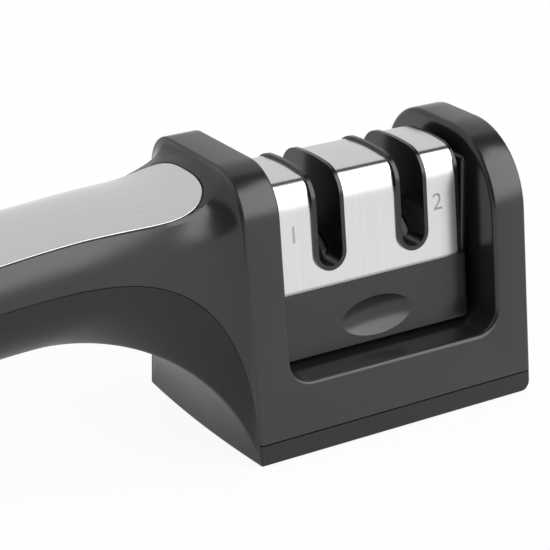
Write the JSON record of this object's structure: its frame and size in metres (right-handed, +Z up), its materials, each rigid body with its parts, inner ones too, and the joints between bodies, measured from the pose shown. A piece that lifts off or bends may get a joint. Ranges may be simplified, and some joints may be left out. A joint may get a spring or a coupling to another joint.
{
  "type": "pull through knife sharpener",
  "caption": "Hand held two stage knife sharpener: a cartridge with slots over sharpening wheels, in a U frame with a long handle",
  "frame": {"origin": "middle of the frame's underside, on the surface that the sharpener stands on", "axes": "+X from the handle to the frame, along the sharpener's length; +Y along the knife slots, away from the viewer; +Z up"},
  "size_m": [0.2144, 0.0574, 0.072],
  "materials": {
    "pad_rubber": "matte non-slip rubber",
    "screw_steel": "zinc plated steel",
    "cartridge_black": "moulded black ABS, semi gloss",
    "axle_steel": "ground steel pin",
    "slot_black": "moulded black ABS, semi gloss",
    "spacer_nylon": "natural nylon",
    "diamond_grit": "steel coated with diamond grit",
    "wheel_ceramic": "fine unglazed ceramic",
    "inlay_steel": "satin stainless steel",
    "grip_soft": "matte soft-touch coating, warm black",
    "cover_steel": "satin stainless steel sheet",
    "shell_black": "satin black ABS"
  },
  "bodies": {
    "frame": {"upper_shell": "shell_black", "lower_shell": "grip_soft", "handle_inlay": "inlay_steel", "base_pad": "pad_rubber", "base_screws": "screw_steel", "handle_screws": "screw_steel"},
    "cartridge": {"cartridge_housing": "cartridge_black", "steel_cover": "cover_steel", "cartridge_base": "cartridge_black", "cartridge_screws": "screw_steel", "coarse_slot_guide": "slot_black", "fine_slot_guide": "slot_black"},
    "coarse_wheels": {"coarse_axle": "axle_steel", "coarse_wheel_left": "diamond_grit", "coarse_wheel_right": "diamond_grit", "coarse_spacers": "spacer_nylon"},
    "fine_wheels": {"fine_axle": "axle_steel", "fine_wheel_left": "wheel_ceramic", "fine_wheel_right": "wheel_ceramic", "fine_spacers": "spacer_nylon"}
  },
  "joints": [
    {"name": "cartridge_lift", "type": "slide", "parent": "frame", "child": "cartridge", "axis": [0, 0, 1], "range_m": [0, 0.04]},
    {"name": "coarse_wheel_spin", "type": "hinge", "parent": "cartridge", "child": "coarse_wheels", "pos_m": [-0.01135, 0, 0.037], "axis": [1, 0, 0], "continuous": true},
    {"name": "fine_wheel_spin", "type": "hinge", "parent": "cartridge", "child": "fine_wheels", "pos_m": [0.01295, 0, 0.037], "axis": [1, 0, 0], "continuous": true}
  ]
}
